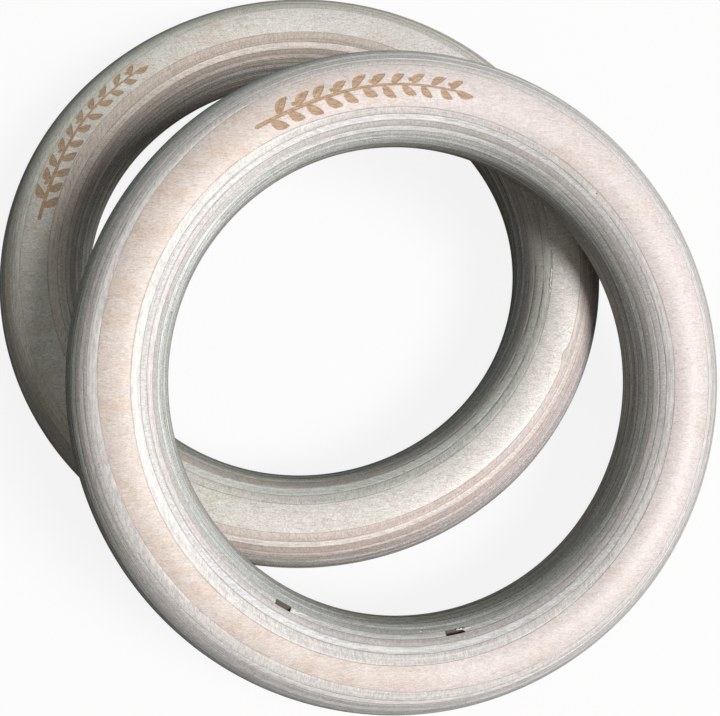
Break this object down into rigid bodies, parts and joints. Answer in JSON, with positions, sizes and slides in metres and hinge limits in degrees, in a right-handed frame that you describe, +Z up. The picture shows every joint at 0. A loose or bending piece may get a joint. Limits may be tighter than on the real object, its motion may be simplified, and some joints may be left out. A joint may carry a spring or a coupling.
{
  "type": "gymnastics rings",
  "caption": "Pair of round-section laminated birch plywood gymnastics rings, loose and without straps, one lying flat and the other leaning on it.",
  "frame": {"origin": "centre of the pair's plan outline, on the floor that both rings stand on", "axes": "+Z up out of the floor along the flat ring's axis, +X to the right and +Y away from the viewer in the arrangement as found"},
  "size_m": [0.2662, 0.279, 0.0896],
  "materials": {
    "ring_a_face": "raw birch veneer, fine sanded, slightly creamy, matt with a soft sheen",
    "ring_a_long_grain": "raw birch veneer edge, grain along the ring at the sides and end grain a quarter turn away, matt",
    "ring_a_cross_grain": "raw birch crossband veneer edge, browner, matt",
    "ring_b_face": "raw birch veneer, fine sanded, pinkish, matt with a soft sheen",
    "ring_b_long_grain": "raw birch veneer edge, matt",
    "ring_b_cross_grain": "raw birch crossband veneer edge, matt"
  },
  "bodies": {
    "ring_a": {"ring_a_back_veneer": "ring_a_face", "ring_a_face_veneer": "ring_a_face", "ring_a_ply_02": "ring_a_cross_grain", "ring_a_ply_03": "ring_a_long_grain", "ring_a_ply_04": "ring_a_cross_grain", "ring_a_ply_05": "ring_a_long_grain", "ring_a_ply_06": "ring_a_cross_grain", "ring_a_ply_07": "ring_a_long_grain", "ring_a_ply_08": "ring_a_cross_grain", "ring_a_ply_09": "ring_a_long_grain", "ring_a_ply_10": "ring_a_cross_grain", "ring_a_ply_11": "ring_a_long_grain", "ring_a_ply_12": "ring_a_cross_grain", "ring_a_ply_13": "ring_a_long_grain", "ring_a_ply_14": "ring_a_cross_grain", "ring_a_ply_15": "ring_a_long_grain", "ring_a_ply_16": "ring_a_cross_grain", "ring_a_ply_17": "ring_a_long_grain", "ring_a_ply_18": "ring_a_cross_grain", "ring_a_ply_19": "ring_a_long_grain", "ring_a_ply_20": "ring_a_cross_grain", "ring_a_ply_21": "ring_a_long_grain", "ring_a_ply_22": "ring_a_cross_grain"},
    "ring_b": {"ring_b_back_veneer": "ring_b_face", "ring_b_face_veneer": "ring_b_face", "ring_b_ply_02": "ring_b_cross_grain", "ring_b_ply_03": "ring_b_long_grain", "ring_b_ply_04": "ring_b_cross_grain", "ring_b_ply_05_long_strip": "ring_b_long_grain", "ring_b_ply_05_short_strip": "ring_b_long_grain", "ring_b_ply_06_long_strip": "ring_b_cross_grain", "ring_b_ply_06_short_strip": "ring_b_cross_grain", "ring_b_ply_07_long_strip": "ring_b_long_grain", "ring_b_ply_07_short_strip": "ring_b_long_grain", "ring_b_ply_08": "ring_b_cross_grain", "ring_b_ply_09": "ring_b_long_grain", "ring_b_ply_10": "ring_b_cross_grain", "ring_b_ply_11": "ring_b_long_grain", "ring_b_ply_12": "ring_b_cross_grain", "ring_b_ply_13": "ring_b_long_grain", "ring_b_ply_14": "ring_b_cross_grain", "ring_b_ply_15": "ring_b_long_grain", "ring_b_ply_16": "ring_b_cross_grain", "ring_b_ply_17": "ring_b_long_grain", "ring_b_ply_18": "ring_b_cross_grain", "ring_b_ply_19": "ring_b_long_grain", "ring_b_ply_20": "ring_b_cross_grain", "ring_b_ply_21": "ring_b_long_grain", "ring_b_ply_22": "ring_b_cross_grain"}
  },
  "joints": [
    {"name": "ring_b_lift", "type": "slide", "parent": "ring_a", "child": "ring_b", "axis": [0, 0, 1], "range_m": [0, 0.2]}
  ]
}
